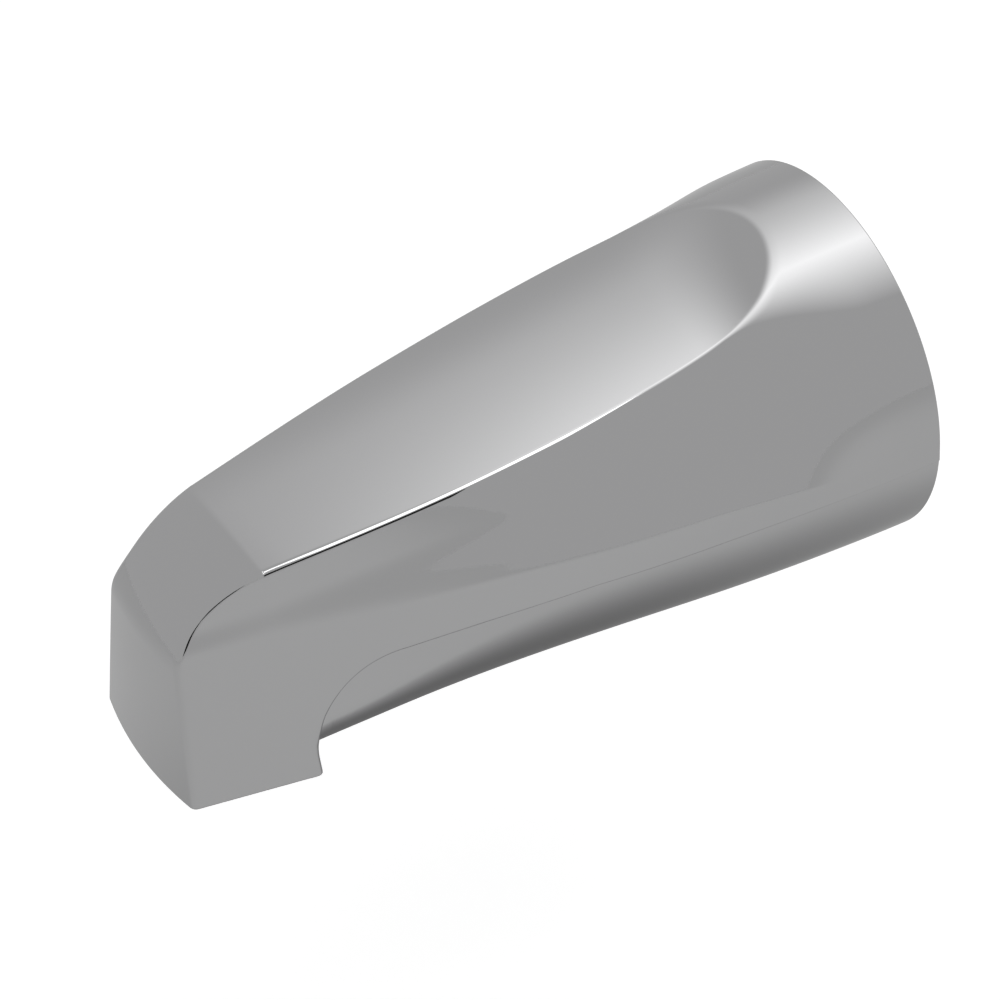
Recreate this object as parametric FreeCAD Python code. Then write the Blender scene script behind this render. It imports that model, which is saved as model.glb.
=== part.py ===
"""Bath spout: a chrome plated casting with a brass pipe thread set in its nose end.

Millimetres. The origin is the centre of the wall rim, the wall is the plane y = 0,
the spout runs out along -Y and +Z is up. In the comments and names, reach is the
distance from the wall, measured along -Y.
"""
import FreeCAD, Part
import math
import os

os.makedirs("parts", exist_ok=True)

V = FreeCAD.Vector

# Round body: a slow draft plus a swelling towards the wall
wall_diameter = 63.5
body_draft = 0.02
body_swell = 4.88
body_swell_run = 90.0

# Nose: where it ends, its flat sides in plan and seen from the front
outlet_drop = 23.2
nose_back_reach = 106.0
nose_back_half_width = 19.67
side_flare = 0.2175
side_lean = 0.166
side_merge = 1.5

# Cheeks between the ridge and the soft bend along each side
bend_height = 3.1
bend_rise_run = 43.0
bend_soft = 1.6
cheek_extra_lean = 0.342
cheek_lean_reach = 43.0
cheek_lean_power = 0.75
cheek_flat_start = 7.0
cheek_flat_run = 27.0
cheek_merge = 2.5

# Lower edge of the cheeks and the arc that takes it down the back of the nose
edge_drop = 2.8
edge_bend_reach = 60.0
edge_drop_at_arc = 4.7
edge_arc_radius = 16.0

# Belly, a rounded box that stands a little inside the cheeks
belly_inset_rear = 0.35
belly_inset_nose = 0.6
belly_narrow_reach = 60.0
belly_rise = 2.45
belly_past_nose_back = 2.0
belly_top = 1.2
belly_side_drop = 11.5
belly_flat_half = 1.0
belly_corner_slant = 44.0

# Tongue: straight fall, scooped rear end, crowned across
tongue_slope = 0.144
crease_ahead = 2.3
crease_below_rim = 16.45
scoop_reach = 34.0
scoop_radius = 98.0
crown_radius = 70.0

# Chin and front face, in the middle plane
chin_start_angle = 27.0
chin_radius = 37.2
chin_turn_angle = 32.6
front_lean_angle = 11.0

# Rounded edges
ridge_round = 2.4
chin_bend_round = 4.0
cavity_round = 3.0

# Hollow inside: a drafted shell behind a bulkhead, and the water way in the nose
wall = 2.3
bulkhead_behind = 16.0
cavity_end_radius = 22.0
cavity_cheek_lean = 0.508
roof_under_tongue = 3.3
nose_cavity_behind = 9.0
nose_cavity_top = 6.0
nose_cavity_floor = 16.0
shoulder_ahead = 7.2
shoulder_drop = 3.0
outlet_back_wall = 2.5
boss_radius = 15.0
passage_radius = 8.0

# Brass insert with the pipe thread bore, cast into the bulkhead
insert_past_bulkhead = 3.0
insert_length = 22.0
insert_stands_out = 2.0
insert_radius = 12.6
insert_bore_radius = 9.35
insert_groove_radius = 11.8
insert_groove_width = 4.0
insert_mouth_chamfer = 1.2

# Places that follow from the sizes
crease_reach = nose_back_reach + crease_ahead
crease_height = wall_diameter / 2.0 - crease_below_rim
bulkhead_reach = nose_back_reach - bulkhead_behind
nose_cavity_reach = nose_back_reach - nose_cavity_behind
insert_start_reach = bulkhead_reach + insert_past_bulkhead - insert_length
boss_start_reach = insert_start_reach + insert_stands_out

# Building aids, larger than the piece
beyond = 60.0
overlap = 1.0
outlet_box_behind = 4.0
hull_past_crease = 23.7
hull_floor = outlet_drop + 2.0 * overlap
hull_stations = 18
hull_low_points = 7
hull_top_points = 12
belly_stations = 6
shoulder_turn = 25.0
crown_half_width = 45.0
chin_lead_angle = 12.0
chin_trail_angle = 14.0
scoop_sweep = 28.0
most_cheek_lean = 1.2
same_radius = 0.01

# How the edges to be rounded are told from the others
near_tongue = 0.3
past_crease = 0.5
shortest_ridge = 3.0
corner_spread = 6.0
corner_half_width = 8.0
bend_spread = 2.5
bend_lowest = -6.0
bend_ahead = 6.0
bend_half_width = 6.0


def smooth_step(t):
    t = max(0.0, min(1.0, t))
    return t * t * (3.0 - 2.0 * t)


def soft_min(a, b, blend):
    """The smaller of two values, rounded over where they are within blend."""
    if blend <= 0.0:
        return min(a, b)
    h = max(blend - abs(a - b), 0.0) / blend
    return min(a, b) - h * h * blend / 4.0


def at(x, reach, z):
    return V(x, -reach, z)


def smooth_curve(points, closed=False):
    """Curve through points, evenly spaced in its parameter so that sections match."""
    count = len(points) + 1 if closed else len(points)
    curve = Part.BSplineCurve()
    curve.interpolate(
        Points=points,
        Parameters=[i / (count - 1) for i in range(count)],
        PeriodicFlag=closed,
    )
    return curve.toShape()


def body_radius(reach):
    swell = body_swell * smooth_step(reach / body_swell_run)
    return wall_diameter / 2.0 - body_draft * reach - swell


def side_half_width(reach, z):
    flare = side_flare * (nose_back_reach - reach)
    return nose_back_half_width + flare - side_lean * (z + outlet_drop)


def side_skin(reach, z):
    """Half width of the skin at and under the bend."""
    radius = body_radius(reach)
    on_body = math.sqrt(radius ** 2 - max(z, 0.0) ** 2)
    return soft_min(on_body, side_half_width(reach, z), side_merge)


def bend_point(reach):
    """Half width and height of the soft bend on the side."""
    z = bend_height * smooth_step(reach / bend_rise_run)
    return side_skin(reach, z), z


def cheek_lean(reach):
    t = (crease_reach - reach) / (crease_reach - cheek_lean_reach)
    t = max(0.0, min(most_cheek_lean, t))
    return side_lean + cheek_extra_lean * t ** cheek_lean_power


def upper_radius(reach, angle):
    """Distance from the middle line to the skin above the bend, tongue not yet cut."""
    radius = body_radius(reach)
    bend_x, bend_z = bend_point(reach)
    start = math.atan2(bend_z, bend_x)
    lean = cheek_lean(reach)
    mirrored = min(angle, math.pi - angle)
    slant = (bend_x + lean * bend_z) / (math.cos(mirrored) + lean * math.sin(mirrored))
    blend = cheek_merge * smooth_step((mirrored - start) / math.radians(shoulder_turn))
    flattened = soft_min(radius, slant, blend)
    share = smooth_step((reach - cheek_flat_start) / cheek_flat_run)
    bend_radius = math.hypot(bend_x, bend_z)
    rounded = radius if bend_radius > radius - same_radius else flattened
    return rounded + share * (flattened - rounded)


def hull_section(reach):
    """Closed outline: up one side, over the top, down the other side, across the floor."""
    bend_x, bend_z = bend_point(reach)
    low_top = bend_z - bend_soft
    right = []
    for i in range(hull_low_points + 1):
        z = -hull_floor + (low_top + hull_floor) * i / hull_low_points
        right.append(at(side_skin(reach, z), reach, z))
    start = math.atan2(bend_z, bend_x) + bend_soft / bend_x
    for i in range(hull_top_points):
        angle = start + (math.pi / 2.0 - start) * i / hull_top_points
        r = upper_radius(reach, angle)
        right.append(at(r * math.cos(angle), reach, r * math.sin(angle)))
    top = at(0.0, reach, upper_radius(reach, math.pi / 2.0))
    left = [at(-p.x, reach, p.z) for p in reversed(right)]
    across = Part.makeLine(left[-1], right[0])
    return Part.Wire([smooth_curve(right + [top] + left), across])


def make_hull():
    sections = []
    end_reach = crease_reach + hull_past_crease
    for i in range(hull_stations + 1):
        sections.append(hull_section(end_reach * i / hull_stations))
    return Part.makeLoft(sections, True, False)


def edge_height(reach):
    """Height of the lower edge of the cheeks, down to where it meets the nose back."""
    arc_start = nose_back_reach - edge_arc_radius
    if reach < edge_bend_reach:
        return -edge_drop
    if reach < arc_start:
        t = (reach - edge_bend_reach) / (arc_start - edge_bend_reach)
        return -edge_drop - t * (edge_drop_at_arc - edge_drop)
    run = min(reach - arc_start, edge_arc_radius)
    fall = edge_arc_radius - math.sqrt(edge_arc_radius ** 2 - run ** 2)
    return -edge_drop_at_arc - fall


def below_edge_cutter():
    """What lies under the lower edge of the cheeks, behind the nose."""
    arc_start = nose_back_reach - edge_arc_radius
    arc_mid = arc_start + edge_arc_radius * math.sin(math.pi / 4.0)
    a = at(-beyond, -overlap, edge_height(0.0))
    b = at(-beyond, edge_bend_reach, edge_height(0.0))
    c = at(-beyond, arc_start, edge_height(arc_start))
    m = at(-beyond, arc_mid, edge_height(arc_mid))
    d = at(-beyond, nose_back_reach, edge_height(nose_back_reach))
    e = at(-beyond, nose_back_reach, -beyond)
    f = at(-beyond, -overlap, -beyond)
    arc = Part.Arc(c, m, d).toShape()
    edges = [Part.makeLine(a, b), Part.makeLine(b, c), arc]
    edges += [Part.makeLine(d, e), Part.makeLine(e, f), Part.makeLine(f, a)]
    return Part.Face(Part.Wire(edges)).extrude(V(2.0 * beyond, 0, 0))


def belly_size(reach):
    """Half width, depth, corner radius and side lean of the belly."""
    radius = body_radius(reach)
    t = smooth_step((reach - belly_narrow_reach) / (nose_back_reach - belly_narrow_reach))
    inset = belly_inset_rear + (belly_inset_nose - belly_inset_rear) * t
    side = side_half_width(reach, max(edge_height(reach), -belly_side_drop))
    half_width = soft_min(radius, side, side_merge) - inset
    depth = radius - belly_rise * t - inset
    slant = math.radians(belly_corner_slant)
    lost = math.cos(slant) + math.sin(slant) - 1.0
    reached = half_width * math.cos(slant) + depth * math.sin(slant)
    corner = (reached - radius + inset) / lost
    return half_width, depth, min(corner, half_width - belly_flat_half), side_lean * t


def mirrored_point(point):
    return V(-point.x, point.y, point.z)


def belly_section(reach):
    """Closed outline: down one side, round the corner, across the bottom and back up."""
    half_width, depth, corner, lean = belly_size(reach)
    level = depth - corner
    flat = half_width - corner
    first = math.asin(max(belly_top - level, 0.0) / corner)
    middle = (first + math.pi / 2.0) / 2.0
    top_x = half_width - lean * max(level - belly_top, 0.0)
    roof = at(top_x, reach, 0.0)
    arc_top = at(flat + corner * math.cos(first), reach, -level - corner * math.sin(first))
    arc_middle = at(flat + corner * math.cos(middle), reach, -level - corner * math.sin(middle))
    arc_end = at(flat, reach, -depth)
    right = [Part.makeLine(roof, arc_top), Part.Arc(arc_top, arc_middle, arc_end).toShape()]
    bottom = Part.makeLine(arc_end, mirrored_point(arc_end))
    ends = [mirrored_point(p) for p in (arc_end, arc_middle, arc_top)]
    left = [Part.Arc(*ends).toShape(), Part.makeLine(ends[2], mirrored_point(roof))]
    return Part.Wire(right + [bottom] + left + [Part.makeLine(mirrored_point(roof), roof)])


def make_belly():
    sections = []
    end_reach = nose_back_reach + belly_past_nose_back
    for i in range(belly_stations + 1):
        sections.append(belly_section(end_reach * i / belly_stations))
    return Part.makeLoft(sections, True, True)


def crown_face(origin, across_normal, height):
    """What lies over the crowned skin at one place, normal to the middle line there."""
    sag = crown_radius - math.sqrt(crown_radius ** 2 - crown_half_width ** 2)
    side = V(crown_half_width, 0, 0)
    low = origin - across_normal * sag
    arc = Part.Arc(low - side, origin, low + side).toShape()
    right_top = low + side + across_normal * height
    left_top = low - side + across_normal * height
    edges = [arc, Part.makeLine(low + side, right_top)]
    edges += [Part.makeLine(right_top, left_top), Part.makeLine(left_top, low - side)]
    return Part.Face(Part.Wire(edges))


def tongue_cutter():
    """Straight part of the tongue and its scooped rear end."""
    slope = math.atan(tongue_slope)
    run = V(0, -math.cos(slope), -math.sin(slope))
    up = V(0, -math.sin(slope), math.cos(slope))
    start_z = crease_height + tongue_slope * (crease_reach - scoop_reach)
    start = at(0, scoop_reach, start_z)
    face = crown_face(start, up, beyond)
    straight = face.extrude(run * (crease_reach + beyond - scoop_reach))
    centre = start + up * scoop_radius
    scoop = face.revolve(centre, V(1, 0, 0), scoop_sweep)
    return straight, scoop


def chin_cutter():
    """Rounded chin and the leaning front face, crowned like the tongue."""
    down = math.radians(chin_start_angle)
    up = V(0, -math.sin(down), math.cos(down))
    crease = at(0, crease_reach, crease_height)
    centre = crease - up * chin_radius
    before = math.radians(chin_start_angle - chin_lead_angle)
    up_before = V(0, -math.sin(before), math.cos(before))
    face = crown_face(centre + up_before * chin_radius, up_before, beyond)
    chin_sweep = chin_lead_angle + chin_turn_angle + chin_trail_angle
    chin = face.revolve(centre, V(1, 0, 0), chin_sweep)
    end = math.radians(chin_start_angle + chin_turn_angle)
    foot = centre + V(0, -math.sin(end), math.cos(end)) * chin_radius
    lean = math.radians(front_lean_angle)
    fall = V(0, -math.sin(lean), -math.cos(lean))
    out = V(0, -math.cos(lean), math.sin(lean))
    front_face = crown_face(foot - fall * beyond, out, beyond)
    front = front_face.extrude(fall * (3.0 * beyond))
    return chin, front


def outer_form():
    below_edge = below_edge_cutter()
    form = make_hull().cut(below_edge)
    form = form.fuse(make_belly().common(below_edge))
    for cutter in tongue_cutter() + chin_cutter():
        form = form.cut(cutter)
    below_outlet = Part.makeBox(2.0 * beyond, beyond, beyond)
    box_end = nose_back_reach - outlet_box_behind + beyond
    below_outlet.translate(at(-beyond, box_end, -outlet_drop - beyond))
    return form.cut(below_outlet)


def spread(edge, count=5):
    first, last = edge.ParameterRange
    step = (last - first) / (count - 1)
    return [edge.valueAt(first + step * i) for i in range(count)]


def edges_where(shape, test):
    return [edge for edge in shape.Edges if test(spread(edge))]


def tongue_height(x, reach):
    """Height of the crowned tongue."""
    slope = math.atan(tongue_slope)
    z = crease_height + tongue_slope * (crease_reach - reach)
    if reach < scoop_reach:
        start_z = crease_height + tongue_slope * (crease_reach - scoop_reach)
        centre_reach = scoop_reach + scoop_radius * math.sin(slope)
        centre_z = start_z + scoop_radius * math.cos(slope)
        run = centre_reach - reach
        z = centre_z - math.sqrt(scoop_radius ** 2 - run ** 2)
    return z - x * x / (2.0 * crown_radius)


def is_ridge(points):
    """Edges between the tongue and the body, round its rear end too."""
    reaches = [-p.y for p in points]
    if max(reaches) > crease_reach + past_crease or max(reaches) - min(reaches) < shortest_ridge:
        return False
    return all(abs(p.z - tongue_height(p.x, -p.y)) < near_tongue for p in points)


def is_nose_corner(points):
    """Edges down both sides of the chin and the front face."""
    if min(-p.y for p in points) < crease_reach - overlap:
        return False
    widths = [p.x for p in points]
    if max(widths) - min(widths) > corner_spread:
        return False
    return min(abs(x) for x in widths) > corner_half_width


def is_chin_bend(points):
    heights = [p.z for p in points]
    widths = [p.x for p in points]
    if max(heights) - min(heights) > bend_spread or min(heights) < bend_lowest:
        return False
    return min(-p.y for p in points) > crease_reach + bend_ahead and max(widths) > bend_half_width


def rounded_outer():
    form = outer_form()
    form = form.makeFillet(chin_bend_round, edges_where(form, is_chin_bend))
    edges = edges_where(form, is_ridge) + edges_where(form, is_nose_corner)
    return form.makeFillet(ridge_round, edges)


def cavity_outline(reach, end_radius):
    """Six-cornered limit of the hollow: floor, leaning sides and cheeks."""
    floor = -end_radius
    high = beyond / 2.0
    foot = side_half_width(reach, floor) - wall
    bend = side_half_width(reach, bend_height) - wall
    top = bend - cavity_cheek_lean * (high - bend_height)
    right = [at(foot, reach, floor), at(bend, reach, bend_height), at(top, reach, high)]
    left = [mirrored_point(p) for p in reversed(right)]
    return Part.makePolygon(right + left + [right[0]])


def rear_cavity():
    """Drafted hollow of the shell between the wall rim and the bulkhead."""
    mouth_radius = wall_diameter / 2.0 - wall
    length = bulkhead_reach + overlap
    cone = Part.makeCone(
        mouth_radius, cavity_end_radius, length, at(0, -overlap, 0), V(0, -1, 0)
    )
    floor_end = belly_size(bulkhead_reach)[1] - wall
    ends = [cavity_outline(-overlap, mouth_radius), cavity_outline(bulkhead_reach, floor_end)]
    hollow = cone.common(Part.makeLoft(ends, True, True))
    over = [
        at(-beyond, -overlap, mouth_radius + overlap),
        at(-beyond, scoop_reach, tongue_height(0.0, scoop_reach) - roof_under_tongue),
        at(-beyond, bulkhead_reach, tongue_height(0.0, bulkhead_reach) - roof_under_tongue),
        at(-beyond, bulkhead_reach, beyond),
        at(-beyond, -overlap, beyond),
    ]
    above = Part.Face(Part.makePolygon(over + [over[0]])).extrude(V(2.0 * beyond, 0, 0))
    return hollow.cut(above)


def rod(radius, start_reach, length):
    return Part.makeCylinder(radius, length, at(0, start_reach, 0), V(0, -1, 0))


def front_reach(z):
    """Reach of the front face in the middle, at one height."""
    end = math.radians(chin_start_angle + chin_turn_angle)
    down = math.radians(chin_start_angle)
    centre_reach = crease_reach - chin_radius * math.sin(down)
    centre_z = crease_height - chin_radius * math.cos(down)
    foot_reach = centre_reach + chin_radius * math.sin(end)
    foot_z = centre_z + chin_radius * math.cos(end)
    return foot_reach + (foot_z - z) * math.tan(math.radians(front_lean_angle))


def nose_cavity():
    """Water way in the nose, open at the outlet."""
    low = -outlet_drop - overlap
    front_low = front_reach(low) - wall
    front_high = front_reach(-shoulder_drop) - wall
    back = nose_back_reach + outlet_back_wall
    outline = [
        at(-beyond, back, low),
        at(-beyond, front_low, low),
        at(-beyond, front_high, -shoulder_drop),
        at(-beyond, crease_reach + shoulder_ahead, nose_cavity_top),
        at(-beyond, nose_cavity_reach, nose_cavity_top),
        at(-beyond, nose_cavity_reach, -nose_cavity_floor),
        at(-beyond, back, -nose_cavity_floor),
    ]
    face = Part.Face(Part.makePolygon(outline + [outline[0]]))
    slab = face.extrude(V(2.0 * beyond, 0, 0))
    ends = []
    for reach in (nose_cavity_reach - overlap, front_low + overlap):
        high = nose_cavity_top + overlap
        deep = low - overlap
        top = side_half_width(reach, high) - wall
        foot = side_half_width(reach, deep) - wall
        corners = [at(-foot, reach, deep), at(foot, reach, deep)]
        corners += [at(top, reach, high), at(-top, reach, high)]
        ends.append(Part.makePolygon(corners + [corners[0]]))
    wedge = Part.makeLoft(ends, True, True)
    void = slab.common(wedge)
    upright = []
    for edge in void.Edges:
        points = spread(edge)
        heights = [p.z for p in points]
        in_mouth = min(-p.y for p in points) > back - overlap
        if in_mouth and max(heights) - min(heights) > 2.0 * cavity_round:
            upright.append(edge)
    return void.makeFillet(cavity_round, upright)


def insert_end():
    return insert_start_reach + insert_length


def make_spout_body():
    body = rounded_outer()
    body = body.cut(rear_cavity())
    boss = rod(boss_radius, boss_start_reach, bulkhead_reach + overlap - boss_start_reach)
    body = body.fuse(boss)
    body = body.cut(make_insert_blank())
    body = body.cut(nose_cavity())
    passage_start = insert_end() - overlap
    passage = rod(passage_radius, passage_start, nose_cavity_reach + overlap - passage_start)
    return body.cut(passage)


def make_insert_blank():
    """Outside of the brass insert, with the groove that the casting fills."""
    blank = rod(insert_radius, insert_start_reach, insert_length)
    groove_start = insert_start_reach + (insert_length - insert_groove_width) / 2.0
    ring = rod(insert_radius + overlap, groove_start, insert_groove_width)
    ring = ring.cut(rod(insert_groove_radius, groove_start, insert_groove_width))
    return blank.cut(ring)


def make_threaded_insert():
    blank = make_insert_blank()
    bore_length = insert_length + 2.0 * overlap
    bored = blank.cut(rod(insert_bore_radius, insert_start_reach - overlap, bore_length))
    mouth = Part.makeCone(
        insert_bore_radius + insert_mouth_chamfer,
        insert_bore_radius,
        insert_mouth_chamfer,
        at(0, insert_start_reach, 0),
        V(0, -1, 0),
    )
    return bored.cut(mouth)


make_spout_body().exportStep("parts/spout_body.step")
make_threaded_insert().exportStep("parts/threaded_insert.step")
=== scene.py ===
import math

import bmesh
import bpy
import numpy as np
from mathutils import Matrix, Vector


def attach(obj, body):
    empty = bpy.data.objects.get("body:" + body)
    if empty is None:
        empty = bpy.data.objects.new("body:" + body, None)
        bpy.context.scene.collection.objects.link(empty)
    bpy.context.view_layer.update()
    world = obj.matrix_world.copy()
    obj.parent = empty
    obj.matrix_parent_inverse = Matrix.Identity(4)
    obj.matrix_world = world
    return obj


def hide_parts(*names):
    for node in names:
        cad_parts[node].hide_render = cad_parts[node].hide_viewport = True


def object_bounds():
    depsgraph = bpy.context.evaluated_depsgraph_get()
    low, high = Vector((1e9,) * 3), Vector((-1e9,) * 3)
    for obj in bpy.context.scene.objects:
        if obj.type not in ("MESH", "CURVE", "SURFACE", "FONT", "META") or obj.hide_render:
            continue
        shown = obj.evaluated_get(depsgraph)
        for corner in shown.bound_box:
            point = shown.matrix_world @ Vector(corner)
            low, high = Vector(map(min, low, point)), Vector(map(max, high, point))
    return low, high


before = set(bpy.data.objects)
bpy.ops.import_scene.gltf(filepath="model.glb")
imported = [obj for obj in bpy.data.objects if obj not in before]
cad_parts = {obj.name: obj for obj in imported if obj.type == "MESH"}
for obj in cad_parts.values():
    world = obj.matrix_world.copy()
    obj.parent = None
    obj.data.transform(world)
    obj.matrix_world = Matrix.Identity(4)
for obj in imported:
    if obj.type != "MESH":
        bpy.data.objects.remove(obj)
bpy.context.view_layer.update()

bpy.ops.object.select_all(action="DESELECT")

# Spout body
# One hollow zinc casting: polished and chrome plated outside, left rough inside.
# Its skin is worked out from the casting's own sizes so that the polish has no facets,
# and its inside is a merged copy of the frame's own.
mm = 0.001
wall_radius = 31.75 * mm
body_draft = 0.02
body_swell = 4.88 * mm
body_swell_run = 90.0 * mm
outlet_drop = 23.2 * mm
nose_back_reach = 106.0 * mm
nose_back_half_width = 19.67 * mm
side_flare = 0.2175
side_lean = 0.166
side_merge = 1.5 * mm
bend_height = 3.1 * mm
bend_rise_run = 43.0 * mm
bend_blend = 0.12 * mm
cheek_extra_lean = 0.342
cheek_lean_reach = 43.0 * mm
cheek_lean_power = 0.75
cheek_flat_start = 7.0 * mm
cheek_flat_run = 27.0 * mm
most_cheek_lean = 1.2
shoulder_blend = 2.5 * mm
shoulder_turn = math.radians(25.0)
edge_drop = 2.8 * mm
edge_bend_reach = 60.0 * mm
edge_drop_at_arc = 4.7 * mm
edge_arc_radius = 16.0 * mm
edge_round = 0.5 * mm
back_corner_round = 1.4 * mm
back_corner_drop = 9.0 * mm
back_corner_run = 11.0 * mm
most_lip_share = 0.6
rim_round = 0.3 * mm
belly_inset_rear = 0.6 * mm
belly_inset_nose = 0.7 * mm
belly_rise = 1.95 * mm
belly_fullness = 0.85 * mm
belly_narrow_reach = 60.0 * mm
belly_side_drop = 11.5 * mm
belly_corner_slant = math.radians(44.0)
ledge_at_wall = 0.08
ledge_from = 8.0 * mm
ledge_run = 30.0 * mm
tongue_slope = 0.144
crease_reach = 108.3 * mm
crease_height = 15.3 * mm
scoop_reach = 34.0 * mm
scoop_radius = 98.0 * mm
crown_radius = 70.0 * mm
chin_start = math.radians(9.0)
chin_turn = math.radians(55.0)
chin_radius = 22.47 * mm
chin_run_back = 20.0 * mm
front_lean = math.radians(7.0)
ridge_round = 1.3 * mm
front_corner_round = 1.6 * mm
front_corner_run = 12.0 * mm
tongue_end_round = 9.0 * mm
tongue_end_from = 4.0 * mm
tongue_end_run = 14.0 * mm
crease_blend = 0.05 * mm
chin_bend_blend = 0.5 * mm


def smooth_step(t):
    t = np.clip(t, 0.0, 1.0)
    return t * t * (3.0 - 2.0 * t)


def soft_max(a, b, blend):
    """The larger of two values, rounded over where they are within blend."""
    h = np.clip(blend - np.abs(a - b), 0.0, None) / np.maximum(blend, 1e-9)
    return np.maximum(a, b) + h * h * blend / 4.0


def soft_min(a, b, blend):
    return -soft_max(-a, -b, blend)


def body_radius(reach):
    swell = body_swell * smooth_step(reach / body_swell_run)
    return wall_radius - body_draft * reach - swell


def side_half_width(reach, z):
    flare = side_flare * (nose_back_reach - reach)
    return nose_back_half_width + flare - side_lean * (z + outlet_drop)


def hull_field(x, reach, z):
    """Distance out from the round body, its cheeks and the sides of the nose."""
    radius = body_radius(reach)
    body = np.hypot(x, np.maximum(z, 0.0)) - radius
    tilt = math.sqrt(1.0 + side_flare ** 2 + side_lean ** 2)
    body = soft_max(body, (x - side_half_width(reach, z)) / tilt, side_merge)
    bend_z = bend_height * smooth_step(reach / bend_rise_run)
    bend_on_body = np.sqrt(radius ** 2 - bend_z ** 2)
    bend_x = soft_min(bend_on_body, side_half_width(reach, bend_z), side_merge)
    t = (crease_reach - reach) / (crease_reach - cheek_lean_reach)
    lean = side_lean + cheek_extra_lean * np.clip(t, 0.0, most_cheek_lean) ** cheek_lean_power
    cheek = (x - bend_x + lean * (z - bend_z)) / np.sqrt(1.0 + lean ** 2)
    past_bend = np.arctan2(z, x) - np.arctan2(bend_z, bend_x)
    blend = bend_blend + shoulder_blend * smooth_step(past_bend / shoulder_turn)
    flattened = soft_max(body, cheek, blend)
    share = smooth_step((reach - cheek_flat_start) / cheek_flat_run)
    return body + share * (flattened - body)


def tongue_line(reach):
    """Height and slope of the tongue along the middle."""
    straight = crease_height + tongue_slope * (crease_reach - reach)
    angle = math.atan(tongue_slope)
    start_z = crease_height + tongue_slope * (crease_reach - scoop_reach)
    centre_reach = scoop_reach + scoop_radius * math.sin(angle)
    centre_z = start_z + scoop_radius * math.cos(angle)
    run = np.clip(centre_reach - reach, 0.0, 0.9 * scoop_radius)
    rise = np.sqrt(scoop_radius ** 2 - run ** 2)
    behind = reach < scoop_reach
    height = np.where(behind, centre_z - rise, straight)
    return height, np.where(behind, run / rise, tongue_slope)


chin_centre_reach = crease_reach - chin_radius * math.sin(chin_start)
chin_centre_z = crease_height - chin_radius * math.cos(chin_start)
chin_end = chin_start + chin_turn
chin_foot_reach = chin_centre_reach + chin_radius * math.sin(chin_end)
chin_foot_z = chin_centre_z + chin_radius * math.cos(chin_end)


def top_field(x, reach, z):
    """Distance out from the tongue, chin and front face, all crowned across."""
    crown = x * x / (2.0 * crown_radius)
    line, slope = tongue_line(reach)
    tongue = (z - line + crown) / np.sqrt(1.0 + slope ** 2)
    out = reach - chin_centre_reach
    up = z - chin_centre_z
    angle = np.arctan2(out, up)
    before = out * math.sin(chin_start) + up * math.cos(chin_start)
    after = out * math.sin(chin_end) + up * math.cos(chin_end)
    arc = np.where(angle > chin_end, after, np.hypot(out, up))
    chin = np.where(angle < chin_start, before, arc) - chin_radius + crown
    chin = np.where(reach < crease_reach - chin_run_back, -1.0, chin)
    ahead = (reach - chin_foot_reach) * math.cos(front_lean)
    front = ahead + (z - chin_foot_z) * math.sin(front_lean) + crown
    return soft_max(soft_max(tongue, chin, crease_blend), front, chin_bend_blend)


def gradient(field, x, reach, z, step=0.01 * mm):
    across = field(x + step, reach, z) - field(x - step, reach, z)
    along = field(x, reach + step, z) - field(x, reach - step, z)
    up = field(x, reach, z + step) - field(x, reach, z - step)
    found = np.stack([across, along, up], -1)
    return found / np.linalg.norm(found, axis=-1, keepdims=True)


def upper_field(x, reach, z):
    """Distance out from the skin over the lower edge, its ridges rounded."""
    toward_front = smooth_step((reach - crease_reach) / front_corner_run)
    round_ = ridge_round + (front_corner_round - ridge_round) * toward_front
    toward_wall = smooth_step((scoop_reach - tongue_end_from - reach) / tongue_end_run)
    round_ = round_ + (tongue_end_round - ridge_round) * toward_wall
    dot = np.sum(gradient(hull_field, x, reach, z) * gradient(top_field, x, reach, z), -1)
    blend = round_ * (1.0 - np.clip(dot, -0.5, 0.999))
    return soft_max(hull_field(x, reach, z), top_field(x, reach, z), blend)


def edge_z(reach):
    """Height of the lower edge of the cheeks."""
    arc_start = nose_back_reach - edge_arc_radius
    t = np.clip((reach - edge_bend_reach) / (arc_start - edge_bend_reach), 0.0, 1.0)
    run = np.clip(reach - arc_start, 0.0, edge_arc_radius)
    fall = edge_arc_radius - np.sqrt(edge_arc_radius ** 2 - run ** 2)
    return -edge_drop - t * (edge_drop_at_arc - edge_drop) - fall


def belly_size(reach):
    """Half width, depth, corner radius and side lean of the belly."""
    radius = body_radius(reach)
    t = smooth_step((reach - belly_narrow_reach) / (nose_back_reach - belly_narrow_reach))
    shown = ledge_at_wall + (1.0 - ledge_at_wall) * smooth_step((reach - ledge_from) / ledge_run)
    inset = shown * (belly_inset_rear + (belly_inset_nose - belly_inset_rear) * t)
    side = side_half_width(reach, max(edge_z(reach), -belly_side_drop))
    half_width = soft_min(radius, side, side_merge) - inset
    depth = radius - belly_rise * t - inset
    slant = belly_corner_slant
    lost = math.cos(slant) + math.sin(slant) - 1.0
    reached = half_width * math.cos(slant) + depth * math.sin(slant)
    fuller = shown * belly_fullness
    corner = min((reached - radius + inset - fuller) / lost, half_width, depth)
    return half_width, depth, corner, side_lean * t


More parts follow.
